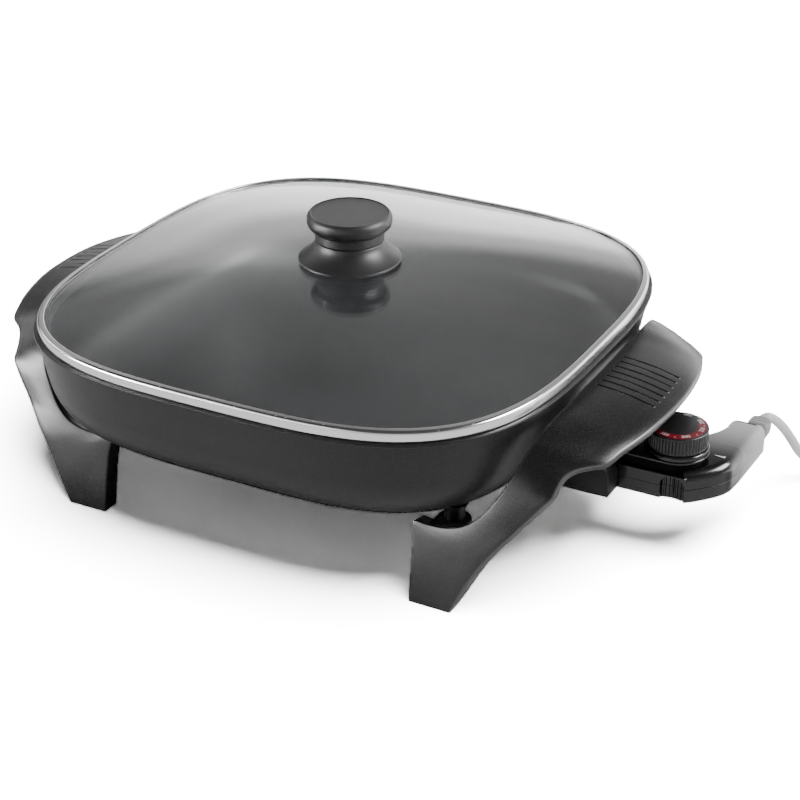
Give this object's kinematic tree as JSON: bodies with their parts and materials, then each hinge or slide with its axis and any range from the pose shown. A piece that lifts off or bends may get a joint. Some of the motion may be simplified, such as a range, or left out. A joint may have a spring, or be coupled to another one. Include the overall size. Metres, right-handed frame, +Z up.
{
  "type": "electric skillet",
  "caption": "Square electric skillet on two handle-and-leg mouldings, with a domed glass lid that lifts off and a plug-in temperature probe with a dial and a cord.",
  "frame": {"origin": "on the surface the skillet stands on, below the middle of the box of all pieces but the free cord", "axes": "+X from the pan towards the probe, +Y to the back, +Z up"},
  "size_m": [0.5338, 0.3036, 0.1565],
  "materials": {
    "nonstick": "cast aluminium under a satin dark grey non-stick coating",
    "phenolic": "fine spark-textured black phenolic moulding",
    "knob_black": "fine-grained black phenolic",
    "gloss_black": "smooth glossy black moulding",
    "stainless_band": "bright satin stainless steel",
    "zinc_plate": "zinc-plated or nickel-plated steel",
    "brass": "spring brass",
    "ceramic": "unglazed white ceramic",
    "silicone": "matt silicone",
    "lid_glass": "clear tempered glass",
    "dial_print": "black disc with printed ring and marks",
    "cord_jacket": "smooth flexible black jacket"
  },
  "bodies": {
    "base": {"skillet_pan": "nonstick", "heating_element": "stainless_band", "terminal_pin_front": "stainless_band", "terminal_pin_back": "stainless_band", "pin_insulator_front": "ceramic", "pin_insulator_back": "ceramic", "sensor_well": "stainless_band", "handle_left": "phenolic", "handle_right": "phenolic", "socket_guard": "phenolic", "guard_screw_front": "zinc_plate", "guard_screw_back": "zinc_plate", "leg_washer_front_left": "zinc_plate", "leg_screw_front_left": "zinc_plate", "leg_washer_front_right": "zinc_plate", "leg_screw_front_right": "zinc_plate", "leg_washer_back_left": "zinc_plate", "leg_screw_back_left": "zinc_plate", "leg_washer_back_right": "zinc_plate", "leg_screw_back_right": "zinc_plate"},
    "lid": {"lid_glass": "lid_glass", "lid_band": "stainless_band", "knob_base": "knob_black", "knob_cap": "knob_black", "knob_gasket": "silicone", "knob_washer": "zinc_plate", "knob_screw": "zinc_plate"},
    "probe": {"probe_lower": "gloss_black", "probe_upper": "gloss_black", "sensor_stem": "stainless_band", "contact_front": "brass", "contact_back": "brass", "thermostat_frame": "zinc_plate", "contact_leaf": "brass", "housing_screw_nose": "zinc_plate", "housing_screw_arm": "zinc_plate", "dial_bezel": "gloss_black", "strain_relief": "gloss_black", "power_cord": "cord_jacket", "cord_coil": "cord_jacket", "plug_body": "cord_jacket", "plug_blade_left": "zinc_plate", "plug_blade_right": "zinc_plate"},
    "dial": {"dial_knob": "gloss_black", "dial_face": "dial_print", "dial_shaft": "zinc_plate"}
  },
  "joints": [
    {"name": "lid_lift", "type": "slide", "parent": "base", "child": "lid", "axis": [0, 0, 1], "range_m": [0, 0.15]},
    {"name": "probe_pull", "type": "slide", "parent": "base", "child": "probe", "axis": [1, 0, 0], "range_m": [0, 0.07]},
    {"name": "dial_turn", "type": "hinge", "parent": "probe", "child": "dial", "pos_m": [0.17886, 0, 0.0602], "axis": [0, 0, 1], "range_deg": [-68, 230]}
  ]
}
